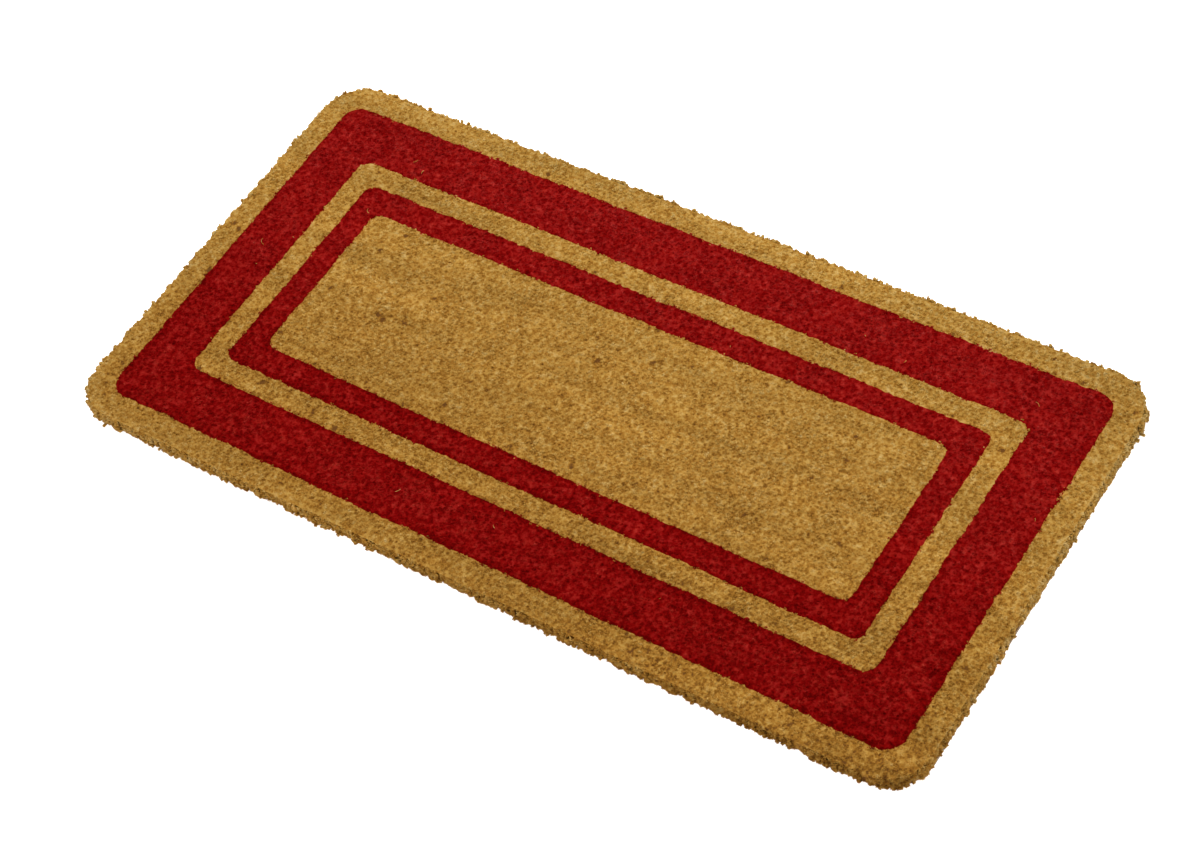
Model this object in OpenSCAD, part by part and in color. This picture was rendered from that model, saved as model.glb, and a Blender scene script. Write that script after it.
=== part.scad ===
// Inlaid coir door mat.
// Coloured rings of tufted coir matting are cut to fit one inside the other, bonded edge to edge
// onto a reinforced vinyl base, and clipped to one height. +Z points out of the pile. The origin
// is under the middle of the mat, on the plane that its base sheet rests on.

/* [Outline] */
// Length of the mat along X
mat_length = 914.4; // [760:0.1:1000]
// Width of the mat along Y
mat_width = 457.2; // [420:0.1:600]
// Radius of the mat's own corners
mat_corner_r = 42; // [20:1:60]

/* [Coloured rings] */
// Width of the natural border, the outermost ring
border_w = 26.3; // [18:0.1:36]
// Width of the wide red band
wide_band_w = 56.8; // [40:0.1:64]
// Width of the narrow natural band
narrow_band_w = 25.2; // [16:0.1:34]
// Width of the inner red band
inner_band_w = 27.8; // [16:0.1:34]
// Corner radius where the border meets the wide red band
wide_band_corner_r = 20; // [8:1:28]
// Corner radius where the wide red band meets the narrow natural band
narrow_band_corner_r = 13.5; // [4:0.5:20]
// Corner radius where the narrow natural band meets the inner red band
inner_band_corner_r = 11; // [4:0.5:18]
// Corner radius of the natural centre field
centre_corner_r = 10.5; // [4:0.5:18]

/* [Layers] */
// Thickness of the vinyl base sheet
base_t = 1.6; // [1.2:0.1:3]
// Thickness of the woven reinforcing scrim
scrim_t = 0.3; // [0.2:0.05:0.6]
// Thickness of the adhesive film that the rings are bonded with
film_t = 0.3; // [0.2:0.05:0.6]
// Thickness of the vinyl bed that grips the roots of the fibres
bed_t = 1.8; // [1.2:0.1:3]
// Height of the clipped coir above its bed
pile_h = 13; // [8:0.5:20]

/* [Underside tread] */
// Centre-to-centre pitch of the tread bars that run across the mat
tread_pitch = 38; // [30:1:50]
// Width of the drainage channels between the bars
tread_channel_w = 2.4; // [1.5:0.1:4]
// Depth of the channels
tread_channel_d = 0.4; // [0.2:0.1:0.8]
// Plain rim left at both ends of the channels
tread_rim_w = 24; // [20:1:40]

/* [Hidden] */

$fn = 64;

// How far each seam lies inside the mat's edge, and its corner radius, from the outside in
seam_inset = [0,
              border_w,
              border_w + wide_band_w,
              border_w + wide_band_w + narrow_band_w,
              border_w + wide_band_w + narrow_band_w + inner_band_w];
seam_r = [mat_corner_r, wide_band_corner_r, narrow_band_corner_r, inner_band_corner_r, centre_corner_r];

// Rings and the centre field, counted from the outside in
BORDER = 0;
WIDE_BAND = 1;
NARROW_BAND = 2;
INNER_BAND = 3;
CENTRE = 4;

// Underside height of each layer, from the floor up
scrim_z = base_t;
film_z = scrim_z + scrim_t;
bed_z = film_z + film_t;
pile_z = bed_z + bed_t;

natural_coir = [0.66, 0.48, 0.22];
red_coir = [0.50, 0.05, 0.04];
base_vinyl = [0.42, 0.32, 0.19];
bed_vinyl = [0.50, 0.38, 0.22];
adhesive = [0.80, 0.76, 0.62];
glass_yarn = [0.86, 0.86, 0.82];

// Rectangle with true round corners, centred on the origin
module rounded_rect(length, width, r) {
    square([length - 2 * r, width], center = true);
    square([length, width - 2 * r], center = true);
    for (x = [-1, 1], y = [-1, 1])
        translate([x * (length / 2 - r), y * (width / 2 - r)]) circle(r);
}

// Everything inside one seam
module inside_seam(seam) {
    inset = seam_inset[seam];
    rounded_rect(mat_length - 2 * inset, mat_width - 2 * inset, seam_r[seam]);
}

// Outline of one ring, or of the centre field
module ring_outline(ring) {
    if (ring == CENTRE)
        inside_seam(CENTRE);
    else
        difference() {
            inside_seam(ring);
            inside_seam(ring + 1);
        }
}

// Flat sheet as large as the whole mat
module full_sheet(z, t) {
    translate([0, 0, z]) linear_extrude(t) inside_seam(BORDER);
}

// Vinyl bed under one ring
module bed(ring) {
    color(bed_vinyl) translate([0, 0, bed_z]) linear_extrude(bed_t) ring_outline(ring);
}

// Clipped coir of one ring
module pile(ring, shade) {
    color(shade) translate([0, 0, pile_z]) linear_extrude(pile_h) ring_outline(ring);
}

// Blind channels across the underside, kept off the round corners, with a bar on the centre line
module tread_channels() {
    reach = mat_length / 2 - mat_corner_r - tread_channel_w / 2;
    last = floor(reach / tread_pitch - 0.5);
    run = mat_width - 2 * tread_rim_w;
    for (i = [-last - 1 : last])
        translate([(i + 0.5) * tread_pitch, 0, 0])
            cube([tread_channel_w, run, 2 * tread_channel_d], center = true);
}

// Vinyl sheet that the whole mat is built on, with a non-slip tread underneath
module base_sheet() {
    color(base_vinyl) difference() {
        full_sheet(0, base_t);
        tread_channels();
    }
}

// Woven sheet that keeps the vinyl flat
module scrim() {
    color(glass_yarn) full_sheet(scrim_z, scrim_t);
}

// Film of adhesive between the reinforced base and the beds
module bonding_film() {
    color(adhesive) full_sheet(film_z, film_t);
}

module border_bed() { bed(BORDER); }
module wide_band_bed() { bed(WIDE_BAND); }
module narrow_band_bed() { bed(NARROW_BAND); }
module inner_band_bed() { bed(INNER_BAND); }
module centre_bed() { bed(CENTRE); }

module border_pile() { pile(BORDER, natural_coir); }
module wide_band_pile() { pile(WIDE_BAND, red_coir); }
module narrow_band_pile() { pile(NARROW_BAND, natural_coir); }
module inner_band_pile() { pile(INNER_BAND, red_coir); }
module centre_pile() { pile(CENTRE, natural_coir); }

base_sheet();
scrim();
bonding_film();
border_bed();
wide_band_bed();
narrow_band_bed();
inner_band_bed();
centre_bed();
border_pile();
wide_band_pile();
narrow_band_pile();
inner_band_pile();
centre_pile();
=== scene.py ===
import math

import bpy
import numpy as np
from mathutils import Matrix, Vector


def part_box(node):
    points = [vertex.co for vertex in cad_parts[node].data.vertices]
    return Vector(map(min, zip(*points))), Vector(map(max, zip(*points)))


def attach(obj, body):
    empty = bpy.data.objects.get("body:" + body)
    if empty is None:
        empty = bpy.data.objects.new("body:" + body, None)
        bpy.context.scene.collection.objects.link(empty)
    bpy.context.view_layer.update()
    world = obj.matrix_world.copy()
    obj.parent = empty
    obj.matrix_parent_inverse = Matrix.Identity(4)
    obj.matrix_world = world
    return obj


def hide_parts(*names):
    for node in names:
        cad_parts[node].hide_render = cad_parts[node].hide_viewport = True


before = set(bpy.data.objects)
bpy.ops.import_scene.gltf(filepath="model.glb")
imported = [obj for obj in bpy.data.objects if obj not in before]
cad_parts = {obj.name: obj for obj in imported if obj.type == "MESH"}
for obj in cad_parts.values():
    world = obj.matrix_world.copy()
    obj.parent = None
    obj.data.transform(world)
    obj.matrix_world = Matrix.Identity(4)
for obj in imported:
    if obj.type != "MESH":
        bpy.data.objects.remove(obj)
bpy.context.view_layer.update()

# An inlaid coir door mat. The CAD frame gives the rings, their beds and the vinyl base. This script
# grows the coir: every ring gets a lumpy core of packed fibre and, standing on it, thousands of
# clipped tufts. Lengths are worked out in millimetres and meshes are made in metres.

MM = 0.001

# Rings from the outside in: name, colour, and corner radius of the ring's outer seam.
RINGS = [
    ("border", "natural", 42.0),
    ("wide_band", "red", 20.0),
    ("narrow_band", "natural", 13.5),
    ("inner_band", "red", 11.0),
    ("centre", "natural", 10.5),
]
CENTRE = len(RINGS) - 1
RED_RINGS = [ring for ring, (name, colour, radius) in enumerate(RINGS) if colour == "red"]

# The fibres of a ring are parted into its four sides, with the long ones halved, and those of the
# centre field into strips.
PARTS = ["front_left", "front_right", "right", "back_right", "back_left", "left"]
STRIPS = ["far_left", "left", "middle", "right", "far_right"]


def node_size(node):
    """Lowest and highest corner of a CAD node, in millimetres."""
    low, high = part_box(node)
    return np.array(low) / MM, np.array(high) / MM


SEAM_HALF = [node_size(name + "_pile")[1][:2] for name, colour, radius in RINGS]
# How far the pile of each ring spreads out over its outer seam, along X and Y, in millimetres.
SEAM_SPREAD = [(0, 0), (-0.3, 1.8), (-0.4, 0.2), (0.5, 1.1), (-0.1, -0.4)]
SEAM_DRIFT = 0.7  # slow straying of a seam from its outline
SEAM_RAGGED = 0.9  # and quick straying
SEAM_R = [radius for name, colour, radius in RINGS]
BED_TOP = node_size("border_pile")[0][2]
PILE_TOP = node_size("border_pile")[1][2]

# The pile, in millimetres.
TUFT_PITCH = 3.7  # between neighbouring tufts along a row
TUFT_ROW = 3.566  # between rows of tufts, so that the seams fall between rows
TUFT_JITTER = 0.2  # of a tuft's place, as a share of the pitch
TUFT_R = 1.4  # radius of a tuft at its tips
TUFT_ROOT = 0.6  # of its radius at its roots, as a share of that at its tips
TUFT_SPREAD = (0.7, 1.15)  # places of its outer fibres, as shares of its radius
TUFT_MIDDLE = 0.25  # and of its middle fibre, at most
FIBRES_PER_TUFT = 6
TUFT_DOME = 0.5  # that a tuft's outer fibres end below its middle one
TUFT_TWIST = 0.2  # spread of its fibres' places round it, in radians
TUFT_RISE = 0.2  # spread of height from tuft to tuft
TUFT_LEAN = 0.12  # spread of lean from tuft to tuft, as a slope
TUFT_COMB = 0.07  # lean of whole streaks of tufts along the mat, as a slope
EDGE_LEAN = 0.5  # that tufts beside the mat's edge lean out, as a slope
LEAN_FADE = 4.0  # distance from the edge over which that fades
LEAST_FIBRE = 1.5  # length of the shortest fibre
FIBRE_R = 0.85  # radius of a fibre, before its taper
FIBRE_THICK = (0.75, 1.25)  # thickness from fibre to fibre, as a share of that
FIBRE_TAPER = np.array([1.2, 0.6])  # of a fibre's radius at its root and its tip
FIBRE_UNEVEN = 0.12  # spread of length from fibre to fibre
CLIP_DEPTH = 0.5  # of the tips' mean height below the pile's highest
PILE_CLUMP = 0.15  # height of the small swells of the tips
PILE_SWELL = 0.25  # and of the broad ones
RED_DROP = 0.4  # that the red pile is clipped below the natural pile
SEAM_DIP = (0.5, 0.1)  # that the red and the natural pile dip beside every seam
DIP_FADE = 2.2  # distance from the seam over which that fades
SEAM_STRAY = 0.9  # spread of how far tufts stand across a seam
ROOT_DEPTH = 1.2  # that a fibre's root is sunk in the core
CORE_DEPTH = 1.7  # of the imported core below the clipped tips
CORE_INSET = 2.3  # of the core's outer wall inside the tips of the mat's edge
CORE_STEP = 2.4  # of the core's own mesh
CORE_LUMP = 0.25  # height of the core's small lumps and of its broad swells
CORE_BULGE = 0.4  # of the lumps of its outer wall
CORE_WALL_ROWS = 5  # of faces down that wall
CORNER_STEPS = 16  # in a quarter turn of an outline
RIM_ROW = 2.8  # between rows of tufts down the mat's edge
RIM_FIBRE = 4.2  # length of a fibre there
SHOULDER_R = 3.0  # of the rounding where the pile's top turns into its edge
SKIRT_Z = 2.4  # height of the lowest tips, which hang over the vinyl
FOOT_Z = 2.4  # height of the lowest tufts' roots
LOWEST_Z = np.array([1.4, 0.9])  # that the root and the tip of any one fibre may be
SPLAY_END = 1.0  # that the tips reach beyond the vinyl at the mat's ends
SPLAY_SIDE = 4.0  # and along its long sides
RIM_STEP = 1.0  # of the line that the edge's tufts are set along
RIM_JITTER = 0.2  # of their place, as a share of their row
RIM_LUMP = 2.5  # that they stand out of the edge's line in small lumps
RIM_SWELL = 0.6  # and in broad swells
LUMP_RISE = 0.5  # share of that by which the shoulder over it is higher
LUMP_FADE = 3.0  # distance in from the shoulder over which that fades
RIM_REACH = 0.25  # spread of how far their tips reach out
RIM_UNEVEN = 0.2  # spread of their length
RIM_RISE = (30.0, 45.0)  # degrees that the lowest and the highest on the wall point up
RIM_LEAN = 0.12  # spread of that, in radians
RIM_SLIDE = 0.15  # spread of their lean along the edge, as a slope
SHOULDER_RISE = 0.4  # radians more that they point up, for each radian round the shoulder

# Tone and hue of the pile. A tone runs from 0, dark, to 1, pale.
TUFT_TONE = 0.47  # of the tufts on the core
RIM_TONE = 0.5  # of the tufts of the mat's edge, a little paler than those on the core, as painted light on the less lit walls
CORE_TONE = 0.42
FIBRE_TONE = 0.03  # spread of tone from fibre to fibre
EDGE_TONE = 0.1  # that the pile is paler beside the mat's edge
EDGE_FADE = 7.0  # millimetres over which that fades
END_PAINTED_LIGHT = 0.14  # painted light: the cut edge paler at the mat's ends, whose walls the key light leaves in shade
BORDER_PAINTED_LIGHT = 0.13  # painted light and shade: the front border paler at its left end and darker at its right
BORDER_FADE = 26.0  # millimetres over which that fades into the mat
FRONT_TO_BACK_PAINTED_LIGHT = 0.06  # painted light and shade: the back of the mat paler and its front darker, as light falling off towards the front
SEAM_PAINTED_SHADE = (0.18, 0.05)  # painted shade: the red and the natural pile darker beside every seam, as if shaded by the pile next to them
SEAM_FADE = 1.8  # millimetres over which that fades
FRONT_SEAM_PAINTED_SHADE = (0.16, 0.05)  # more painted shade: darker still beside the seams of the mat's front
FRONT_FADE = 7.0  # millimetres over which that fades
FRONT_START = 60.0  # millimetres in front of the mat's middle line where it is at its full
GRAIN_STEP = 0.6  # millimetres between the points of the grain's grid
GRAIN_SIZE = 0.95  # millimetres, blur radius of the pile's light and dark grain
GRAIN_TONE = 0.08  # spread of tone of that grain
GRAIN_SEED = 51
GRAIN_MARGIN = 12  # points of the grid beyond each side of the mat
HUE_SPREAD = 0.08  # of hue from tuft to tuft, and from fibre to fibre
FRONT_PAINTED_SHADE_HUE = 0.25  # painted shade in the hue: the front of the mat browner and its back yellower, as light falling off towards the front

# The finest grain is in the shader: dark dots of painted shade in the gaps between tufts, and soft
# clumps.
DOT_SCALE = 250  # of the dots, per metre
DOT_EDGES = (0.08, 0.85)  # place of a dot's dark middle, painted gap shade, and of its pale rim, from 0 to 1
DOT_TONES = (-1.3, 1.05)  # and their tones, as shares of the grain's strength; the dark one is painted shade
BEND_SCALE = 330  # of the noise that makes the dots ragged, per metre
BEND = 0.009  # how far it bends them, in metres
CLUMP_SCALE = 225  # of the clumps, per metre
CLUMP = 0.5  # strength of the clumps beside that of the dots
NATURAL_GRAIN_AND_GAP_SHADE = 0.24  # strength of both, the dots' painted shade and the clumps, in the natural pile, as tone
RED_GRAIN_AND_GAP_SHADE = 0.26  # and in the red pile
STREAK_SCALE = 7  # of slow streaks along the mat, per metre
STREAK_STRETCH = (0.5, 5, 1)
BLOTCH_SCALE = 38  # of slow blotches, per metre
BLOTCH = 0.04  # strength of the blotches, as a share of the colour

# The scrim, in millimetres.
YARN_PITCH = 12.0
YARN_SIZE = np.array([1.95, 0.12])  # width and thickness of a flat yarn
YARN_WAVE = 0.07  # that a yarn rises and falls over and under the yarns it crosses
YARN_INSET = 1.0  # of the net's cut edge inside the mat's

# Chance features: hollows darkened with painted shade, tufts that stick out of the edge, and loose
# curls.
PITS = 100
PIT_SEED = 61
PIT_SIZE = (1.7, 2.5)  # radius in millimetres
PIT_DEPTH = (0.6, 1.5)  # as tone of the painted shade inside a hollow
PIT_FALL = 1.6  # millimetres that the pile sinks for a depth of one
PIT_MARGIN = 8.0  # millimetres that they keep from the mat's edge
PILE_SEED = 7
STRAY_TUFTS = 0.005  # share of the edge's tufts that stick out
STRAY_REACH = 2.5  # millimetres that they do
RED_CURLS = 14
CENTRE_CURLS = 6
CURL_R = 0.25  # millimetres, radius of a curl's own fibre
CURL_BEND = (3.0, 6.5)  # millimetres, radius that a curl bends to
CURL_SWEEP = (0.3, 1.7)  # radians that it turns through
CURL_RINGS = 9  # of points along a curl

# Light and camera, in metres, watts and degrees. The lens and its sensor are in millimetres.
KEY_PLACE = (-0.12, 0.55, 1.7)
KEY_SIZE = 2.2
KEY_POWER = 33.4
SKY = 1.03
FLOOR_HALF = 30.0
FLOOR_GLOW = 0.8
CAMERA_AZIMUTH = 44.65
CAMERA_ELEVATION = 52.18
CAMERA_ROLL = 14.6
CAMERA_DISTANCE = 2.443
CAMERA_AIM = (0.0222, -0.0382)
LENS = 81.43
SENSOR = 36.0


# ---------------------------------------------------------------- fields


def smooth_noise(x, y, cell, seed):
    """A smooth random field from -1 to 1, whose bumps are about one cell across. A cell is one
    number, or one along X and one along Y."""
    cell_x, cell_y = np.broadcast_to(cell, 2)
    period = 512
    lattice = np.random.default_rng(seed).uniform(-1, 1, (period, period))
    u = np.asarray(x) / cell_x
    v = np.asarray(y) / cell_y
    i = np.floor(u).astype(int)
    j = np.floor(v).astype(int)
    a = u - i
    b = v - j
    a = a * a * (3 - 2 * a)
    b = b * b * (3 - 2 * b)
    i, j = i % period, j % period
    i_next, j_next = (i + 1) % period, (j + 1) % period
    low = lattice[i, j] * (1 - a) + lattice[i_next, j] * a
    high = lattice[i, j_next] * (1 - a) + lattice[i_next, j_next] * a
    return low * (1 - b) + high * b


def grain_field(step, blur, seed):
    """White noise over the mat on a grid, blurred to soft blobs, with half of its broader swells
    taken away so that the blobs are even, and with a spread of one."""
    size = (SEAM_HALF[0] * 2 / step).astype(int) + 2 * GRAIN_MARGIN
    white = np.random.default_rng(seed).normal(0, 1, size)
    fx = np.fft.fftfreq(size[0])[:, None]
    fy = np.fft.rfftfreq(size[1])[None, :]
    rate = 2 * (math.pi * blur / step) ** 2 * (fx**2 + fy**2)
    broad = np.exp(-9 * rate)
    damp = np.exp(-rate) * (1 - 0.5 * broad)
    soft = np.fft.irfft2(np.fft.rfft2(white) * damp, s=tuple(size))
    return soft / soft.std()


def sample(field, step, x, y):
    """The field's value at points of the mat, by bilinear steps."""
    half_x, half_y = SEAM_HALF[0]
    u = np.clip((x + half_x) / step + GRAIN_MARGIN, 0, field.shape[0] - 1.001)
    v = np.clip((y + half_y) / step + GRAIN_MARGIN, 0, field.shape[1] - 1.001)
    i, j = u.astype(int), v.astype(int)
    a, b = u - i, v - j
    low = field[i, j] * (1 - a) + field[i + 1, j] * a
    high = field[i, j + 1] * (1 - a) + field[i + 1, j + 1] * a
    return low * (1 - b) + high * b


def seam_distance(x, y, seam):
    """Distance in millimetres from a point to a seam's outline, negative inside it."""
    half_x, half_y = SEAM_HALF[seam] + SEAM_SPREAD[seam]
    r = SEAM_R[seam]
    across = np.abs(x) - (half_x - r)
    along = np.abs(y) - (half_y - r)
    outside = np.hypot(np.maximum(across, 0), np.maximum(along, 0))
    return outside + np.minimum(np.maximum(across, along), 0) - r


def seam_wobble(x, y, seam):
    """How far the hand-laid seam strays from its outline."""
    slow = smooth_noise(x, y, 34, seed=100 + seam)
    quick = smooth_noise(x, y, 4.5, seed=200 + seam)
    return SEAM_DRIFT * slow + SEAM_RAGGED * quick


def nearest_seam(x, y):
    """Distance from a point to the nearest seam between two colours."""
    return np.min([np.abs(seam_distance(x, y, seam)) for seam in range(1, len(RINGS))], axis=0)


def away_from_middle(x, y, seam=0):
    """Unit vector out of the mat, square to its edge or to one of its seams."""
    half_x, half_y = SEAM_HALF[seam] + SEAM_SPREAD[seam]
    r = SEAM_R[seam]
    px = np.maximum(np.abs(x) - (half_x - r), 0) * np.sign(x)
    py = np.maximum(np.abs(y) - (half_y - r), 0) * np.sign(y)
    size = np.maximum(np.hypot(px, py), 1e-6)
    return px / size, py / size


def laid(points, seam):
    """Points near a seam, moved as the seam strays from its outline."""
    x, y = points.T
    near = np.clip(1 + seam_distance(x, y, seam) / 8, 0, 1)
    away = np.column_stack(away_from_middle(x, y, seam))
    return points - away * (near * seam_wobble(x, y, seam))[:, None]


def core_height(x, y):
    """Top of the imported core."""
    lumps = smooth_noise(x, y, 3.1, seed=11)
    swells = smooth_noise(x, y, 24, seed=12)
    return PILE_TOP - CORE_DEPTH + CORE_LUMP * lumps + CORE_LUMP * swells


def unit(v):
    """Vectors made one long."""
    return v / np.linalg.norm(v, axis=-1, keepdims=True)


def square_to(lead, steep):
    """Two unit vectors square to each vector of lead and to each other. The first is level, or for
    a lead whose rise is above steep it is square to X."""
    ref = np.where(np.abs(lead[:, 2:3]) > steep, [[1.0, 0.0, 0.0]], [[0.0, 0.0, 1.0]])
    side = unit(np.cross(lead, ref))
    return side, np.cross(lead, side)


def round_about(angle, side, up):
    """Unit vectors at some angles round each lead, from the two vectors square to it."""
    return np.cos(angle)[..., None] * side[:, None] + np.sin(angle)[..., None] * up[:, None]


# ---------------------------------------------------------------- meshes


def new_object(name, mesh, material):
    """An object in the scene for a mesh of one material."""
    mesh.materials.append(material)
    shown = bpy.data.objects.new(name, mesh)
    bpy.context.scene.collection.objects.link(shown)
    return shown


def riding(piece, nodes):
    """The piece, riding on the mat's one body in place of some CAD nodes."""
    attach(piece, "root")
    if nodes:
        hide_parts(*nodes)
    return piece


def new_piece(name, points, faces, material, nodes=()):
    """A piece of the mat from points in millimetres."""
    mesh = bpy.data.meshes.new(name)
    mesh.from_pydata((np.asarray(points) * MM).tolist(), [], faces)
    return riding(new_object(name, mesh, material), nodes)


def new_triangles(name, points, triangles, material, nodes=()):
    """As new_piece, for large arrays of triangles."""
    mesh = bpy.data.meshes.new(name)
    mesh.vertices.add(len(points))
    mesh.vertices.foreach_set("co", (points * MM).astype(np.float32).ravel())
    mesh.loops.add(3 * len(triangles))
    mesh.loops.foreach_set("vertex_index", triangles.astype(np.int32).ravel())
    mesh.polygons.add(len(triangles))
    mesh.polygons.foreach_set("loop_start", np.arange(0, 3 * len(triangles), 3, dtype=np.int32))
    mesh.update(calc_edges=True)
    return riding(new_object(name, mesh, material), nodes)


def paint(piece, tone, hue, along):
    """Stores each point's tone, hue and place along its fibre for the coir materials."""
    layer = piece.data.color_attributes.new(name="fibre", type="FLOAT_COLOR", domain="POINT")
    values = np.ones((len(piece.data.vertices), 4), np.float32)
    values[:, 0] = tone
    values[:, 1] = hue
    values[:, 2] = along
    layer.data.foreach_set("color", values.ravel())


def outline(seam, step=CORE_STEP):
    """Points round a seam, counted the same for every seam."""
    half_x, half_y = SEAM_HALF[seam] + SEAM_SPREAD[seam]
    r = SEAM_R[seam]
    across = int(2 * SEAM_HALF[0][0] / step)
    up = int(2 * SEAM_HALF[0][1] / step)
    points = []
    for quarter, (sx, sy) in enumerate([(1, 1), (-1, 1), (-1, -1), (1, -1)]):
        start = quarter * math.pi / 2
        centre = np.array([sx * (half_x - r), sy * (half_y - r)])
        for k in range(CORNER_STEPS):
            angle = start + k * math.pi / 2 / CORNER_STEPS
            points.append(centre + r * np.array([math.cos(angle), math.sin(angle)]))
        side = across if quarter % 2 == 0 else up
        end = start + math.pi / 2
        here = centre + r * np.array([math.cos(end), math.sin(end)])
        if quarter % 2 == 0:
            there = np.array([-here[0], here[1]])
        else:
            there = np.array([here[0], -here[1]])
        for k in range(side):
            points.append(here + (there - here) * k / side)
    return np.array(points)


def ring_core(ring):
    """A closed lumpy body of packed fibre that fills one ring."""
    outer = outline(ring)
    inner = laid(outline(ring + 1), ring + 1)
    if ring == 0:
        away = np.column_stack(away_from_middle(*outer.T))
        outer += away * (splay(away[:, 1:]) - CORE_INSET)
    else:
        outer = laid(outer, ring)
    # Loops across the top from the outer seam to the inner one, down to the bed, under the ring,
    # and in the outermost ring up its outer wall. Each loop is joined to the next one.
    rows = int((SEAM_HALF[ring][0] - SEAM_HALF[ring + 1][0]) / CORE_STEP)
    loops = []
    for k in range(rows + 1):
        xy = outer + (inner - outer) * k / rows
        loops.append(np.column_stack([xy, core_height(xy[:, 0], xy[:, 1])]))
    loops.append(np.column_stack([inner, np.full(len(inner), BED_TOP)]))
    loops.append(np.column_stack([outer, np.full(len(outer), BED_TOP)]))
    wall_rows = CORE_WALL_ROWS if ring == 0 else 1
    for k in range(1, wall_rows):
        z = BED_TOP + (loops[0][:, 2] - BED_TOP) * k / wall_rows
        bulge = smooth_noise(outer[:, 0] + outer[:, 1], z * 3, 4, seed=13)
        loops.append(np.column_stack([outer + CORE_BULGE * bulge[:, None] * away, z]))
    count = len(outer)
    points = np.concatenate(loops)
    faces = []
    for k in range(len(loops)):
        here, there = k * count, (k + 1) % len(loops) * count
        for n in range(count):
            m = (n + 1) % count
            faces.append((here + n, here + m, there + m, there + n))
    add_core(ring, points, faces)


def centre_core():
    """The closed lumpy body that fills the centre field."""
    radius = SEAM_R[CENTRE]
    half_x, half_y = SEAM_HALF[CENTRE] + SEAM_SPREAD[CENTRE]
    # A grid for the top, with its rows cut short at the round corners.
    across = int(2 * half_x / CORE_STEP)
    up = int(2 * half_y / CORE_STEP)
    u, v = np.meshgrid(np.linspace(-1, 1, across + 1), np.linspace(-1, 1, up + 1), indexing="ij")
    y = v * half_y
    into = np.maximum(np.abs(y) - (half_y - radius), 0)
    x = u * (half_x - radius + np.sqrt(radius**2 - into**2))
    flat = laid(np.column_stack([x.ravel(), y.ravel()]), CENTRE)
    top = np.column_stack([flat, core_height(*flat.T)])
    index = np.arange(len(top)).reshape(across + 1, up + 1)
    rim = np.concatenate([index[:, 0], index[-1, 1:], index[-2::-1, -1], index[0, -2:0:-1]])
    # Its rim is carried down to the bed and closed by one face.
    foot = top[rim].copy()
    foot[:, 2] = BED_TOP
    faces = [
        (index[i, j], index[i + 1, j], index[i + 1, j + 1], index[i, j + 1])
        for i in range(across)
        for j in range(up)
    ]
    count = len(rim)
    for n in range(count):
        m = (n + 1) % count
        faces.append((len(top) + n, len(top) + m, rim[m], rim[n]))
    faces.append(tuple(len(top) + n for n in reversed(range(count))))
    faces = [tuple(int(i) for i in face) for face in faces]
    add_core(CENTRE, np.concatenate([top, foot]), faces)


def add_core(ring, points, faces):
    """The piece for a ring's core, mottled, and darkened with the painted shade of the fibres'
    roots.
    """
    name, colour, radius = RINGS[ring]
    piece = new_piece(
        name + "_core", points, faces, COIR[colour], [name + "_pile"]
    )
    x, y, z = points.T
    tone = CORE_TONE + 0.1 * smooth_noise(x, y, 3.4, seed=21)
    tone += painted_light_and_shade(x, y, ring in RED_RINGS)
    # Painted shade in the hollows.
    tone -= 0.9 * pits(x, y, np.full(len(x), ring))
    if ring == 0:
        out_x, out_y = away_from_middle(x, y)
        at_edge = np.clip(1 + (seam_distance(x, y, 0) - splay(out_y)) / 4, 0, 1)
        # Painted light on the core's outer wall at the mat's ends.
        tone += END_PAINTED_LIGHT * at_edge * out_x**2
    hue = 0.5 + 0.2 * smooth_noise(x, y, 5, seed=22)
    # A low place along the fibre gives the core the roots' painted shade.
    paint(piece, tone, hue, 0.25)


def fibre_mesh(path, radius, roll, tone, hue):
    """Three-sided closed fibres along paths of shape (fibres, rings, 3).
    Returns points, triangles, tone, hue and place along the fibre for each point, and UVs."""
    count, rings = path.shape[:2]
    side, up = square_to(unit(path[:, -1] - path[:, 0]), 0.9)
    spoke = round_about(roll[:, None] + np.arange(3) * 2 * math.pi / 3, side, up)
    points = path[:, :, None] + radius[:, :, None, None] * spoke[:, None]
    first = np.arange(count)[:, None] * rings * 3
    one = []
    for r in range(rings - 1):
        for k in range(3):
            a, b = 3 * r + k, 3 * r + (k + 1) % 3
            one += [(a, b + 3, b), (a, a + 3, b + 3)]
    one += [(0, 1, 2), (3 * rings - 1, 3 * rings - 2, 3 * rings - 3)]
    triangles = (first[..., None] + np.array(one)[None]).reshape(-1, 3)
    along = np.tile(np.repeat(np.linspace(0, 1, rings), 3), count)
    each = rings * 3
    return {
        "points": points.reshape(-1, 3),
        "triangles": triangles,
        "tone": np.repeat(tone, each),
        "hue": np.repeat(hue, each),
        "along": along,
        "uv": fibre_uv(count, rings),
    }


def fibre_uv(count, rings):
    """Each fibre's own cell in a square map: round the fibre across it, root to tip up it."""
    cells = math.ceil(math.sqrt(count))
    one = []
    for r in range(rings - 1):
        low, high = r / (rings - 1), (r + 1) / (rings - 1)
        for k in range(3):
            left, right = k / 3, (k + 1) / 3
            one += [(left, low), (right, high), (right, low)]
            one += [(left, low), (left, high), (right, high)]
    one += [(0.3, 0), (0.7, 0), (0.5, 0.2)]
    one += [(0.3, 1), (0.7, 1), (0.5, 0.8)]
    one = np.array(one) * 0.8 + 0.1
    place = np.arange(count)
    corner = np.column_stack([place % cells, place // cells])
    return ((corner[:, None] + one[None]) / cells).reshape(-1, 2)


def fibre_piece(name, mesh, material, nodes=()):
    """A painted piece from the arrays of fibre_mesh."""
    piece = new_triangles(name, mesh["points"], mesh["triangles"], material, nodes)
    paint(piece, mesh["tone"], mesh["hue"], mesh["along"])
    layer = piece.data.uv_layers.new(name="OFBake")
    layer.data.foreach_set("uv", mesh["uv"].astype(np.float32).ravel())


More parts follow.
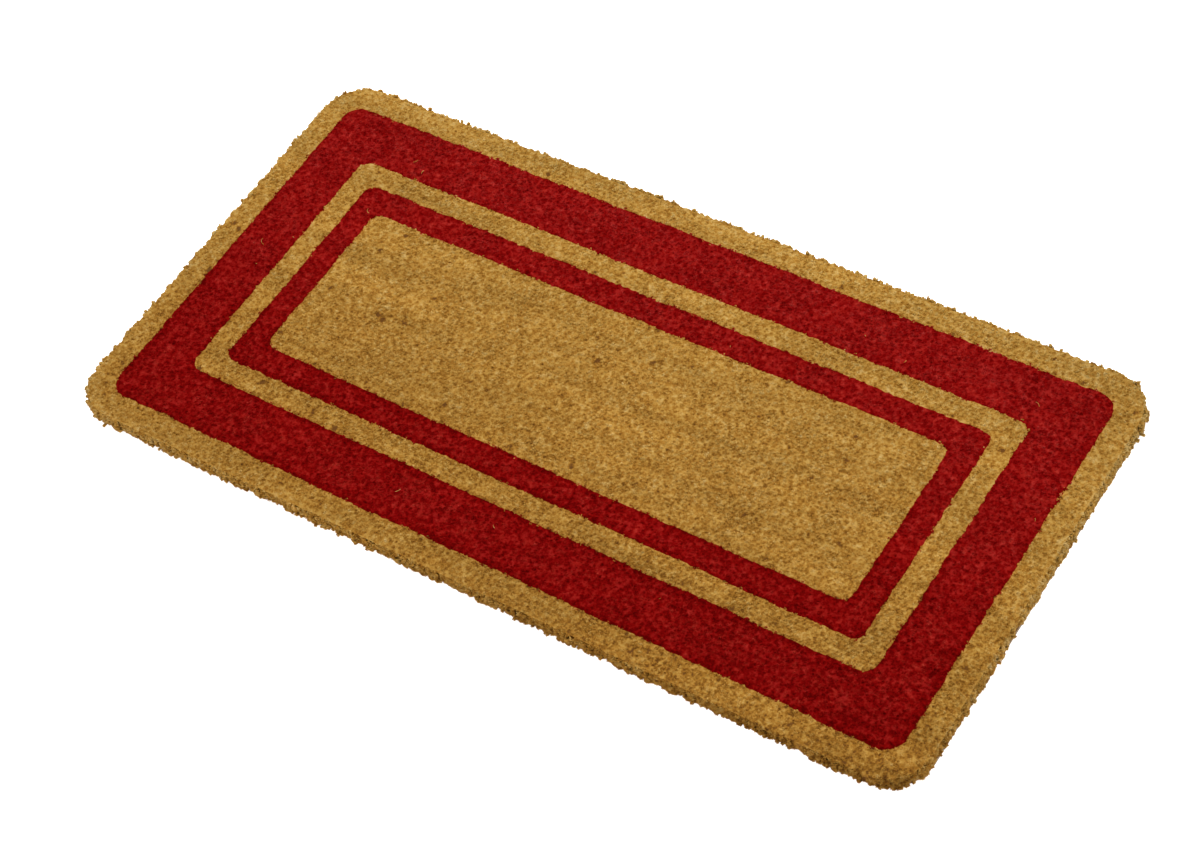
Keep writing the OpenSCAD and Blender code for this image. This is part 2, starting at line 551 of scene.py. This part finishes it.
# ---------------------------------------------------------------- materials


def new_material(name):
    """A material with its nodes, its links and its shader."""
    material = bpy.data.materials.new(name)
    material.use_nodes = True
    nodes = material.node_tree.nodes
    return material, nodes, material.node_tree.links, nodes["Principled BSDF"]


def ramp(nodes, stops):
    """A colour ramp from (place, colour) stops."""
    node = nodes.new("ShaderNodeValToRGB")
    elements = node.color_ramp.elements
    while len(elements) < len(stops):
        elements.new(0.5)
    for element, (place, colour) in zip(elements, stops):
        element.position = place
        element.color = (*colour, 1)
    return node


def noise(nodes, links, coords, scale, detail, roughness, stretch=(1, 1, 1)):
    """A noise texture in object space, stretched by a mapping."""
    mapping = nodes.new("ShaderNodeMapping")
    mapping.inputs["Scale"].default_value = stretch
    links.new(coords.outputs["Object"], mapping.inputs["Vector"])
    node = nodes.new("ShaderNodeTexNoise")
    node.inputs["Scale"].default_value = scale
    node.inputs["Detail"].default_value = detail
    node.inputs["Roughness"].default_value = roughness
    links.new(mapping.outputs["Vector"], node.inputs["Vector"])
    return node


def map_range(nodes, links, source, low, high, to_low, to_high):
    """source, moved from one range of values to another and kept within it."""
    node = nodes.new("ShaderNodeMapRange")
    sockets = ("From Min", "From Max", "To Min", "To Max")
    for socket, value in zip(sockets, (low, high, to_low, to_high)):
        node.inputs[socket].default_value = value
    links.new(source, node.inputs["Value"])
    return node.outputs["Result"]


def swing(nodes, links, texture, low, high):
    """The middle of a noise texture's values, spread over a range."""
    return map_range(nodes, links, texture.outputs["Fac"], 0.3, 0.7, low, high)


def add(nodes, links, value, other):
    """value plus other."""
    node = nodes.new("ShaderNodeMath")
    links.new(value, node.inputs[0])
    links.new(other, node.inputs[1])
    return node.outputs[0]


def multiply(nodes, links, colour, other):
    """colour times other, which is a colour or a grey value."""
    node = nodes.new("ShaderNodeMix")
    node.data_type = "RGBA"
    node.blend_type = "MULTIPLY"
    node.inputs["Factor"].default_value = 1.0
    links.new(colour, node.inputs[6])
    links.new(other, node.inputs[7])
    return node.outputs[2]


def emboss(nodes, links, shader, texture, strength, height):
    """Raises the surface where a texture is light."""
    bump = nodes.new("ShaderNodeBump")
    bump.inputs["Strength"].default_value = strength
    bump.inputs["Distance"].default_value = height
    links.new(texture.outputs["Fac"], bump.inputs["Height"])
    links.new(bump.outputs["Normal"], shader.inputs["Normal"])


def strayed(nodes, links, coords):
    """Object coordinates bent by a fine noise, so that the dots are ragged and unevenly spread."""
    bend = noise(nodes, links, coords, BEND_SCALE, 2.0, 0.5)
    node = nodes.new("ShaderNodeVectorMath")
    node.operation = "MULTIPLY_ADD"
    node.inputs[1].default_value = (BEND, BEND, BEND)
    links.new(bend.outputs["Color"], node.inputs[0])
    links.new(coords.outputs["Object"], node.inputs[2])
    return node.outputs["Vector"]


def coir_material(name, tones, hues, grain, streak, root_painted_shade, gloss):
    """Coir whose colour follows each fibre's own tone and hue, with dots and clumps of the strength
    grain, the dots' dark middles being painted shade between tufts, and slow streaks and blotches.
    Towards its root each fibre is darkened with painted shade."""
    material, nodes, links, shader = new_material(name)
    coords = nodes.new("ShaderNodeTexCoord")
    fibre = nodes.new("ShaderNodeAttribute")
    fibre.attribute_name = "fibre"
    parts = nodes.new("ShaderNodeSeparateColor")
    links.new(fibre.outputs["Color"], parts.inputs["Color"])
    # Dots whose dark middles are painted shade in the gaps between tufts.
    dots = nodes.new("ShaderNodeTexVoronoi")
    dots.inputs["Scale"].default_value = DOT_SCALE
    links.new(strayed(nodes, links, coords), dots.inputs["Vector"])
    dark, pale = DOT_TONES
    dots = map_range(nodes, links, dots.outputs["Distance"], *DOT_EDGES, dark * grain, pale * grain)
    clumps = noise(nodes, links, coords, CLUMP_SCALE, 1.0, 0.5)
    clumps = swing(nodes, links, clumps, -CLUMP * grain, CLUMP * grain)
    mottled = add(nodes, links, add(nodes, links, parts.outputs["Red"], dots), clumps)
    tone = ramp(nodes, tones)
    links.new(mottled, tone.inputs["Fac"])
    hue = ramp(nodes, hues)
    links.new(parts.outputs["Green"], hue.inputs["Fac"])
    colour = multiply(nodes, links, tone.outputs["Color"], hue.outputs["Color"])
    # Painted shade: each fibre darker towards its root, deep in the pile.
    along = map_range(nodes, links, parts.outputs["Blue"], 0, 0.8, root_painted_shade, 1.0)
    colour = multiply(nodes, links, colour, along)
    rows = noise(nodes, links, coords, STREAK_SCALE, 2.0, 0.5, STREAK_STRETCH)
    colour = multiply(nodes, links, colour, swing(nodes, links, rows, 1 - streak, 1 + streak))
    blotch = noise(nodes, links, coords, BLOTCH_SCALE, 3.0, 0.6)
    colour = multiply(nodes, links, colour, swing(nodes, links, blotch, 1 - BLOTCH, 1 + BLOTCH))
    links.new(colour, shader.inputs["Base Color"])
    shader.inputs["Roughness"].default_value = 0.8
    shader.inputs["Specular IOR Level"].default_value = gloss
    return material


def vinyl_material(name, dark, light, grain):
    """Soft matte vinyl with a fine mottle."""
    material, nodes, links, shader = new_material(name)
    coords = nodes.new("ShaderNodeTexCoord")
    fine = noise(nodes, links, coords, grain, 4.0, 0.65)
    shade = ramp(nodes, [(0.3, dark), (0.7, light)])
    links.new(fine.outputs["Fac"], shade.inputs["Fac"])
    links.new(shade.outputs["Color"], shader.inputs["Base Color"])
    emboss(nodes, links, shader, fine, 0.4, 0.0004)
    shader.inputs["Roughness"].default_value = 0.68
    shader.inputs["Specular IOR Level"].default_value = 0.3
    return material


def yarn_material():
    """Pale flat yarn with fine twisted filaments."""
    material, nodes, links, shader = new_material("scrim_yarn")
    coords = nodes.new("ShaderNodeTexCoord")
    twist = nodes.new("ShaderNodeTexWave")
    twist.bands_direction = "DIAGONAL"
    twist.inputs["Scale"].default_value = 900
    twist.inputs["Distortion"].default_value = 2.0
    links.new(coords.outputs["Object"], twist.inputs["Vector"])
    shade = ramp(nodes, [(0.2, (0.42, 0.39, 0.31)), (0.8, (0.68, 0.66, 0.59))])
    links.new(twist.outputs["Fac"], shade.inputs["Fac"])
    dirt = swing(nodes, links, noise(nodes, links, coords, 60, 3.0, 0.6), 0.85, 1.05)
    colour = multiply(nodes, links, shade.outputs["Color"], dirt)
    links.new(colour, shader.inputs["Base Color"])
    emboss(nodes, links, shader, twist, 0.3, 0.0001)
    shader.inputs["Roughness"].default_value = 0.6
    return material


# Colours of the coir for a tone or a hue from 0 to 1.
NATURAL_TONES = [
    (0.0, (0.115, 0.045, 0.009)),
    (0.25, (0.265, 0.116, 0.014)),
    (0.6, (0.4, 0.223, 0.046)),
    (1.0, (0.515, 0.352, 0.132)),
]
NATURAL_HUES = [(0.0, (0.97, 1.0, 0.96)), (0.5, (1, 1, 1)), (1.0, (1.02, 0.97, 0.94))]
RED_TONES = [
    (0.0, (0.07, 0.0006, 0.0006)),
    (0.35, (0.145, 0.0015, 0.0015)),
    (0.7, (0.225, 0.0085, 0.0066)),
    (1.0, (0.32, 0.026, 0.019)),
]
RED_HUES = [(0.0, (0.92, 1.0, 1.3)), (0.5, (1, 1, 1)), (1.0, (1.05, 1.3, 0.9))]

COIR = {
    "natural": coir_material(
        "natural_coir_fibre",
        NATURAL_TONES,
        NATURAL_HUES,
        NATURAL_GRAIN_AND_GAP_SHADE,
        streak=0.11,
        root_painted_shade=0.7,
        gloss=0.03,
    ),
    "red": coir_material(
        "red_coir_fibre", RED_TONES, RED_HUES, RED_GRAIN_AND_GAP_SHADE, streak=0.06, root_painted_shade=0.85, gloss=0.0
    ),
}
BED_VINYL = vinyl_material("bed_vinyl", (0.12, 0.06, 0.022), (0.22, 0.12, 0.05), 420)
BASE_VINYL = vinyl_material("base_vinyl", (0.09, 0.05, 0.022), (0.16, 0.09, 0.045), 900)
FILM = vinyl_material("adhesive_film", (0.5, 0.44, 0.28), (0.66, 0.6, 0.42), 160)
YARN = yarn_material()


def carry_over(node, material):
    """Gives a CAD node that stays its material."""
    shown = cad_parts[node]
    shown.data.materials.clear()
    shown.data.materials.append(material)


carry_over("base_sheet", BASE_VINYL)
carry_over("bonding_film", FILM)
for ring_name, ring_colour, ring_radius in RINGS:
    carry_over(ring_name + "_bed", BED_VINYL)


# ---------------------------------------------------------------- the scrim


def yarn_runs():
    """Every yarn of the net as (axis it runs along, number across, half its length)."""
    half = SEAM_HALF[0] - YARN_INSET
    r = SEAM_R[0] - YARN_INSET
    for axis in (0, 1):
        last = int((half[1 - axis] - YARN_SIZE[0]) / YARN_PITCH)
        for number in range(-last, last + 1):
            into = max(abs(number) * YARN_PITCH - (half[1 - axis] - r), 0)
            yield axis, number, half[axis] - r + math.sqrt(r * r - into * into)


def scrim_net():
    """An open net of flat yarns, each passing over and under the ones that it crosses."""
    low, high = node_size("scrim")
    middle = (low[2] + high[2]) / 2
    points, faces = [], []
    for axis, number, end in yarn_runs():
        knots = int(end / YARN_PITCH * 2)
        along = np.concatenate([[-end], np.arange(-knots, knots + 1) * YARN_PITCH / 2, [end]])
        sign = (1 if axis == 0 else -1) * (-1) ** number
        lift = middle + sign * YARN_WAVE * np.cos(math.pi * along / YARN_PITCH)
        for n, (place, z) in enumerate(zip(along, lift)):
            start = len(points)
            for across, up in ((-1, -1), (1, -1), (1, 1), (-1, 1)):
                point = [0.0, 0.0, z + up * YARN_SIZE[1] / 2]
                point[axis] = place
                point[1 - axis] = number * YARN_PITCH + across * YARN_SIZE[0] / 2
                points.append(point)
            if n:
                for k in range(4):
                    m = (k + 1) % 4
                    faces.append((start - 4 + k, start - 4 + m, start + m, start + k))
            else:
                faces.append((start + 3, start + 2, start + 1, start))
        faces.append((start, start + 1, start + 2, start + 3))
    net = new_piece("scrim_net", points, faces, YARN, ["scrim"])


scrim_net()


# ---------------------------------------------------------------- the pile


def ring_of(x, y, stray=0.0):
    """Which ring each point is in, or -1 outside the mat, along the wobbling seams. stray lets a
    tuft stand a little across a seam."""
    ring = np.full(x.shape, -1)
    for seam in range(len(RINGS)):
        over = 0 if seam == 0 else seam_wobble(x, y, seam) + stray
        ring[seam_distance(x, y, seam) + over < 0] = seam
    return ring


def part_of(x, y, ring):
    """Which of PARTS each point is in, or in the centre field which of STRIPS."""
    half_x, half_y = SEAM_HALF[0]
    beyond_end = np.abs(x) - half_x > np.abs(y) - half_y
    ends = np.where(x > 0, PARTS.index("right"), PARTS.index("left"))
    back = np.where(x > 0, PARTS.index("back_right"), PARTS.index("back_left"))
    front = np.where(x > 0, PARTS.index("front_right"), PARTS.index("front_left"))
    longs = np.where(y > 0, back, front)
    strip = ((x / SEAM_HALF[CENTRE][0] + 1) * len(STRIPS) / 2).astype(int)
    strip = np.clip(strip, 0, len(STRIPS) - 1)
    return np.where(ring == CENTRE, strip, np.where(beyond_end, ends, longs))


GRAIN = grain_field(GRAIN_STEP, GRAIN_SIZE, GRAIN_SEED)


def splay(out_y):
    """How far the tips reach beyond the vinyl: further along the long sides than at the ends."""
    return SPLAY_END + (SPLAY_SIDE - SPLAY_END) * out_y**2


def painted_light_and_shade(x, y, red):
    """Painted light and shade, as slow changes of tone: darker beside the seams and a little
    towards the front, and along the front border paler at its left end than at its right."""
    to_seam = nearest_seam(x, y)
    front = np.clip(-y / FRONT_START, 0, 1)
    # Painted shade beside the seams, deeper in the front half of the mat.
    tone = -np.where(red, *SEAM_PAINTED_SHADE) * np.exp(-to_seam / SEAM_FADE)
    tone -= np.where(red, *FRONT_SEAM_PAINTED_SHADE) * front * np.exp(-to_seam / FRONT_FADE)
    half_x, half_y = SEAM_HALF[0]
    # Painted light along the front border, falling off from its left end to its right.
    border = np.exp(seam_distance(x, y, 0) / BORDER_FADE)
    tone -= BORDER_PAINTED_LIGHT * border * np.clip(-y / half_y, 0, 1) ** 2 * x / half_x
    # Painted light towards the back of the mat, and painted shade towards its front.
    return tone + FRONT_TO_BACK_PAINTED_LIGHT * y / half_y


def rim_lump(x, y):
    """How far the tufts of the mat's edge stand out of its line."""
    return RIM_LUMP * smooth_noise(x, y, 2.7, seed=41) + RIM_SWELL * smooth_noise(x, y, 11, seed=42)


def pits(x, y, ring):
    """Depth of small hollows here and there in the natural pile, and 0 elsewhere. As tone it
    darkens them with painted shade.
    """
    draw = np.random.default_rng(PIT_SEED)
    half_x, half_y = SEAM_HALF[0]
    deep = np.zeros(x.shape)
    reach = (half_x - PIT_MARGIN, half_y - PIT_MARGIN)
    for px, py in draw.uniform(-1, 1, (PITS, 2)) * reach:
        size = draw.uniform(*PIT_SIZE)
        depth = draw.uniform(*PIT_DEPTH)
        deep = np.maximum(deep, depth * np.exp(-((x - px) ** 2 + (y - py) ** 2) / size**2))
    return np.where(np.isin(ring, RED_RINGS), 0, deep)


def base_hue(draw, x, y):
    """Hue from tuft to tuft, with painted shade making it a little browner towards the front of the
    mat.
    """
    slow = 0.05 * smooth_noise(x, y, 9, seed=36)
    return 0.5 + slow - FRONT_PAINTED_SHADE_HUE * y / SEAM_HALF[0][1] + draw.normal(0, HUE_SPREAD, len(x))


def tufts(draw, base, lead, length, tone, hue, grain_gain, ring=None):
    """Fibres in tufts: each tuft's fibres stand round its base, spread towards their tips and end
    at slightly different lengths. Without a ring, each fibre belongs to the one its tip is in."""
    count = len(base)
    each = FIBRES_PER_TUFT
    lead = unit(lead)
    side, up = square_to(lead, 0.8)
    angle = draw.uniform(0, 2 * math.pi, (count, 1)) + np.arange(each) * 2 * math.pi / (each - 1)
    angle = angle + draw.normal(0, TUFT_TWIST, (count, each))
    spread = draw.uniform(*TUFT_SPREAD, (count, each))
    spread[:, -1] = draw.uniform(0, TUFT_MIDDLE, count)
    offset = TUFT_R * spread[..., None] * round_about(angle, side, up)
    reach = length[:, None] - TUFT_DOME * spread**2 + draw.normal(0, FIBRE_UNEVEN, (count, each))
    root = base[:, None] + TUFT_ROOT * offset
    tip = base[:, None] + offset + reach[..., None] * lead[:, None]
    path = np.stack([root, tip], axis=2).reshape(-1, 2, 3)
    path[..., 2] = np.maximum(path[..., 2], LOWEST_Z)
    thick = FIBRE_R * draw.uniform(*FIBRE_THICK, count * each)
    tip_x, tip_y, tip_z = tip.reshape(-1, 3).T
    if ring is None:
        stray = np.repeat(draw.normal(0, SEAM_STRAY, count), each)
        ring = ring_of(tip_x, tip_y, stray)
        ring = np.where(ring < 0, 0, ring)
    out_x, out_y = away_from_middle(tip_x, tip_y)
    drop = PILE_TOP - tip_z
    grain = sample(GRAIN, GRAIN_STEP, tip_x - out_x * drop, tip_y - out_y * drop)
    grain *= grain_gain * GRAIN_TONE
    tone = np.repeat(tone, each) + grain + draw.normal(0, FIBRE_TONE, count * each)
    hue = np.repeat(hue, each) + draw.normal(0, HUE_SPREAD, count * each)
    return {
        "path": path,
        "radius": thick[:, None] * FIBRE_TAPER,
        "tone": np.clip(tone, 0, 1),
        "hue": np.clip(hue, 0, 1),
        "ring": ring,
        "part": part_of(tip_x, tip_y, ring),
    }


def top_tufts(draw):
    """The tufts that stand on the core."""
    half_x, half_y = SEAM_HALF[0]
    across = int(2 * half_x / TUFT_PITCH) + 3
    up = int(half_y / TUFT_ROW) + 2
    i, j = np.meshgrid(np.arange(across), np.arange(-up, up), indexing="ij")
    x = (i + 0.5 * (j % 2)) * TUFT_PITCH - half_x
    y = (j + 0.5) * TUFT_ROW
    x = x.ravel() + draw.normal(0, TUFT_JITTER * TUFT_PITCH, x.size)
    y = y.ravel() + draw.normal(0, TUFT_JITTER * TUFT_PITCH, y.size)
    edge = splay(away_from_middle(x, y)[1]) - seam_distance(x, y, 0)
    inside = edge > SHOULDER_R + 0.5 * TUFT_PITCH - 0.6
    x, y, edge = x[inside], y[inside], edge[inside]
    ring = ring_of(x, y)
    count = len(x)
    red = np.isin(ring, RED_RINGS)
    to_seam = nearest_seam(x, y)

    clump = smooth_noise(x, y, 10, seed=31)
    swell = smooth_noise(x, y, 22, seed=32)
    pit = pits(x, y, ring)
    tip_z = PILE_TOP - CLIP_DEPTH + PILE_CLUMP * clump + PILE_SWELL * swell
    tip_z += draw.normal(0, TUFT_RISE, count)
    tip_z -= np.where(red, RED_DROP, 0)
    tip_z -= np.where(red, *SEAM_DIP) * np.exp(-to_seam / DIP_FADE)
    lump = LUMP_RISE * rim_lump(x, y)
    tip_z += lump * np.exp(-(edge - SHOULDER_R) / LUMP_FADE) - PIT_FALL * pit

    lean_x = TUFT_COMB * smooth_noise(x, y, (60, 9), seed=34) + draw.normal(0, TUFT_LEAN, count)
    lean_y = draw.normal(0, TUFT_LEAN, count)
    out_x, out_y = away_from_middle(x, y)
    outward = EDGE_LEAN * np.exp(-(edge - SHOULDER_R) / LEAN_FADE)
    lead = np.column_stack([lean_x + out_x * outward, lean_y + out_y * outward, np.ones(count)])
    base = np.column_stack([x, y, core_height(x, y) - ROOT_DEPTH])
    length = np.maximum(tip_z - base[:, 2], LEAST_FIBRE)
    # Painted shade in the hollows, where the pile also sinks.
    tone = TUFT_TONE + 0.03 * clump + 0.02 * swell - pit
    tone += EDGE_TONE * np.exp(-edge / EDGE_FADE)
    tone += painted_light_and_shade(x, y, red)
    hue = base_hue(draw, x, y)
    return tufts(draw, base, lead, length, tone, hue, 1.0)


def rim_tufts(draw):
    """The tufts round the mat's cut edge, from the shoulder of the pile down to the vinyl. They
    point up and out, so that their clipped ends make up the edge."""
    line = outline(0, RIM_STEP)
    steps = np.linalg.norm(np.roll(line, -1, axis=0) - line, axis=1)
    walk = np.concatenate([[0], np.cumsum(steps)])
    closed = np.vstack([line, line[:1]])
    wall_top = PILE_TOP - CLIP_DEPTH - SHOULDER_R
    shoulder = 0.5 * math.pi * SHOULDER_R
    profile = shoulder + wall_top - SKIRT_Z
    rows, posts = round(profile / RIM_ROW), int(walk[-1] / RIM_ROW)
    row, post = np.meshgrid(np.arange(rows), np.arange(posts), indexing="ij")
    count = row.size
    jitter = RIM_JITTER * RIM_ROW
    s = (post + 0.5 * (row % 2)).ravel() * RIM_ROW + draw.normal(0, jitter, count)
    down = (row.ravel() + 0.5) * RIM_ROW + draw.normal(0, jitter, count)
    down = np.clip(down, 0, profile)
    x = np.interp(s % walk[-1], walk, closed[:, 0])
    y = np.interp(s % walk[-1], walk, closed[:, 1])
    out_x, out_y = away_from_middle(x, y)

    lump = rim_lump(x, y)
    far = splay(out_y) + lump + draw.normal(0, RIM_REACH, count)
    stray = STRAY_REACH * (draw.uniform(0, 1, count) < STRAY_TUFTS)
    far += stray
    # Each tip is some way down the edge's profile: round the shoulder, and then down the wall.
    turn = np.maximum(0.5 * math.pi - down / SHOULDER_R, 0)
    wall = np.maximum(down - shoulder, 0)
    tip_out = far - SHOULDER_R * (1 - np.cos(turn))
    tip_z = wall_top + (SHOULDER_R + LUMP_RISE * lump) * np.sin(turn) - wall
    lowest, highest = RIM_RISE
    rise = np.radians(lowest + (highest - lowest) * np.clip(tip_z / wall_top, 0, 1))
    rise += SHOULDER_RISE * turn
    rise += draw.normal(0, RIM_LEAN, count)
    # Tufts that stand out are longer, so that their roots still reach the core.
    length = RIM_FIBRE + 0.3 * np.maximum(lump, 0) + 1.3 * stray
    length += draw.normal(0, RIM_UNEVEN, count)
    rise = np.minimum(rise, np.arcsin(np.clip((tip_z - FOOT_Z) / length, -0.5, 0.98)))
    slide = draw.normal(0, RIM_SLIDE, count)
    flat = np.cos(rise)
    lead_x = out_x * flat - out_y * slide
    lead_y = out_y * flat + out_x * slide
    lead = unit(np.column_stack([lead_x, lead_y, np.sin(rise)]))
    tip = np.column_stack([x + out_x * tip_out, y + out_y * tip_out, tip_z])
    tone = RIM_TONE + 0.05 * smooth_noise(x, y, 10, seed=43)
    # Painted shade: the edge darker towards its foot, beside the floor.
    tone -= 0.08 * np.exp(-(tip_z - SKIRT_Z) / 2.0)
    # Painted light and shade as on the top, and painted light on the edge at the mat's ends.
    tone += painted_light_and_shade(x, y, False) + END_PAINTED_LIGHT * out_x**2
    ring = np.zeros(count * FIBRES_PER_TUFT, int)
    base = tip - length[:, None] * lead
    hue = base_hue(draw, x, y)
    return tufts(draw, base, lead, length, tone, hue, 1.2, ring)


def stray_fibres(draw):
    """Loose curls of natural coir that lie on the pile, most of them on the red."""
    half_x, half_y = SEAM_HALF[0]
    tries = 20 * RED_CURLS
    x = draw.uniform(-half_x, half_x, tries)
    y = draw.uniform(-half_y, half_y, tries)
    ring = ring_of(x, y)
    on_red = np.flatnonzero(np.isin(ring, RED_RINGS))[:RED_CURLS]
    on_centre = np.flatnonzero(ring == CENTRE)[:CENTRE_CURLS]
    order = np.concatenate([on_red, on_centre])
    x, y = x[order], y[order]
    count = len(x)
    rings = CURL_RINGS
    bend = draw.uniform(*CURL_BEND, (count, 1))
    start = draw.uniform(0, 2 * math.pi, (count, 1))
    sweep = draw.uniform(*CURL_SWEEP, (count, 1)) * draw.choice([-1, 1], (count, 1))
    angle = start + sweep * np.linspace(0, 1, rings)
    lift = 0.5 + 0.5 * np.sin(np.linspace(0, math.pi, rings))
    lift = lift + draw.uniform(-0.2, 0.3, (count, 1))
    path_x = x[:, None] + bend * np.cos(angle)
    path_y = y[:, None] + bend * np.sin(angle)
    path = np.stack([path_x, path_y, PILE_TOP - 0.6 + lift], axis=2)
    return {
        "path": path,
        "radius": np.full((count, rings), CURL_R),
        "tone": draw.uniform(0.5, 0.85, count),
        "hue": np.full(count, 0.4),
    }


def grow_pile():
    """All the fibres, as one piece for each part of each ring, and the loose curls."""
    draw = np.random.default_rng(PILE_SEED)
    groups = [top_tufts(draw), rim_tufts(draw)]
    grown = {key: np.concatenate([g[key] for g in groups]) for key in groups[0]}
    for ring, (name, colour, radius) in enumerate(RINGS):
        for part, part_name in enumerate(STRIPS if ring == CENTRE else PARTS):
            pick = (grown["ring"] == ring) & (grown["part"] == part)
            mesh = fibre_mesh(
                grown["path"][pick],
                grown["radius"][pick],
                draw.uniform(0, 2 * math.pi, int(pick.sum())),
                grown["tone"][pick],
                grown["hue"][pick],
            )
            piece_name = f"{name}_fibres_{part_name}"
            fibre_piece(piece_name, mesh, COIR[colour], [name + "_pile"])
            print(piece_name, pick.sum(), "fibres,", len(mesh["triangles"]), "triangles")
    curls = stray_fibres(draw)
    roll = draw.uniform(0, 6, len(curls["tone"]))
    mesh = fibre_mesh(curls["path"], curls["radius"], roll, curls["tone"], curls["hue"])
    fibre_piece("stray_fibres", mesh, COIR["natural"])


for ring_number in range(CENTRE):
    ring_core(ring_number)
centre_core()
grow_pile()


# ---------------------------------------------------------------- stage, light and camera


def stage_floor():
    """A plain pale floor, which glows a little so that the mat's shadow hardly shows."""
    mesh = bpy.data.meshes.new("floor")
    corners = [(-1, -1), (1, -1), (1, 1), (-1, 1)]
    mesh.from_pydata([(FLOOR_HALF * x, FLOOR_HALF * y, 0) for x, y in corners], [], [(0, 1, 2, 3)])
    material, nodes, links, shader = new_material("studio_floor")
    shader.inputs["Base Color"].default_value = (0.9, 0.9, 0.9, 1)
    shader.inputs["Roughness"].default_value = 0.9
    shader.inputs["Specular IOR Level"].default_value = 0.1
    shader.inputs["Emission Color"].default_value = (1, 1, 1, 1)
    shader.inputs["Emission Strength"].default_value = FLOOR_GLOW
    new_object("floor", mesh, material)


def aimed(place, target, roll=0.0):
    """World matrix of a camera or light at place that looks at target, rolled about its view."""
    back = (Vector(place) - Vector(target)).normalized()
    right = Vector((0, 0, 1)).cross(back).normalized()
    up = back.cross(right)
    turned_right = math.cos(roll) * right - math.sin(roll) * up
    turned_up = math.sin(roll) * right + math.cos(roll) * up
    matrix = Matrix((turned_right, turned_up, back)).transposed().to_4x4()
    matrix.translation = place
    return matrix


def add_key_light():
    """A large soft lamp over the back of the mat, aimed at its middle."""
    light = bpy.data.lights.new("key", "AREA")
    light.shape = "DISK"
    light.size = KEY_SIZE
    light.energy = KEY_POWER
    lamp = bpy.data.objects.new("key", light)
    lamp.matrix_world = aimed(KEY_PLACE, (0, 0, 0))
    bpy.context.scene.collection.objects.link(lamp)


def add_camera():
    """The camera, placed by its direction and distance from a point on the pile."""
    azimuth = math.radians(CAMERA_AZIMUTH)
    elevation = math.radians(CAMERA_ELEVATION)
    aim = Vector((*CAMERA_AIM, PILE_TOP * MM))
    back = Vector(
        (
            math.sin(azimuth) * math.cos(elevation),
            -math.cos(azimuth) * math.cos(elevation),
            math.sin(elevation),
        )
    )
    data = bpy.data.cameras.new("camera")
    data.lens = LENS
    data.sensor_width = SENSOR
    camera = bpy.data.objects.new("camera", data)
    camera.matrix_world = aimed(aim + CAMERA_DISTANCE * back, aim, math.radians(CAMERA_ROLL))
    bpy.context.scene.collection.objects.link(camera)
    bpy.context.scene.camera = camera


def add_world():
    """Even white light from all round."""
    world = bpy.data.worlds.new("studio")
    world.use_nodes = True
    background = world.node_tree.nodes["Background"]
    background.inputs["Color"].default_value = (1, 1, 1, 1)
    background.inputs["Strength"].default_value = SKY
    bpy.context.scene.world = world
    bpy.context.scene.view_settings.view_transform = "Standard"


stage_floor()
add_key_light()
add_world()
add_camera()
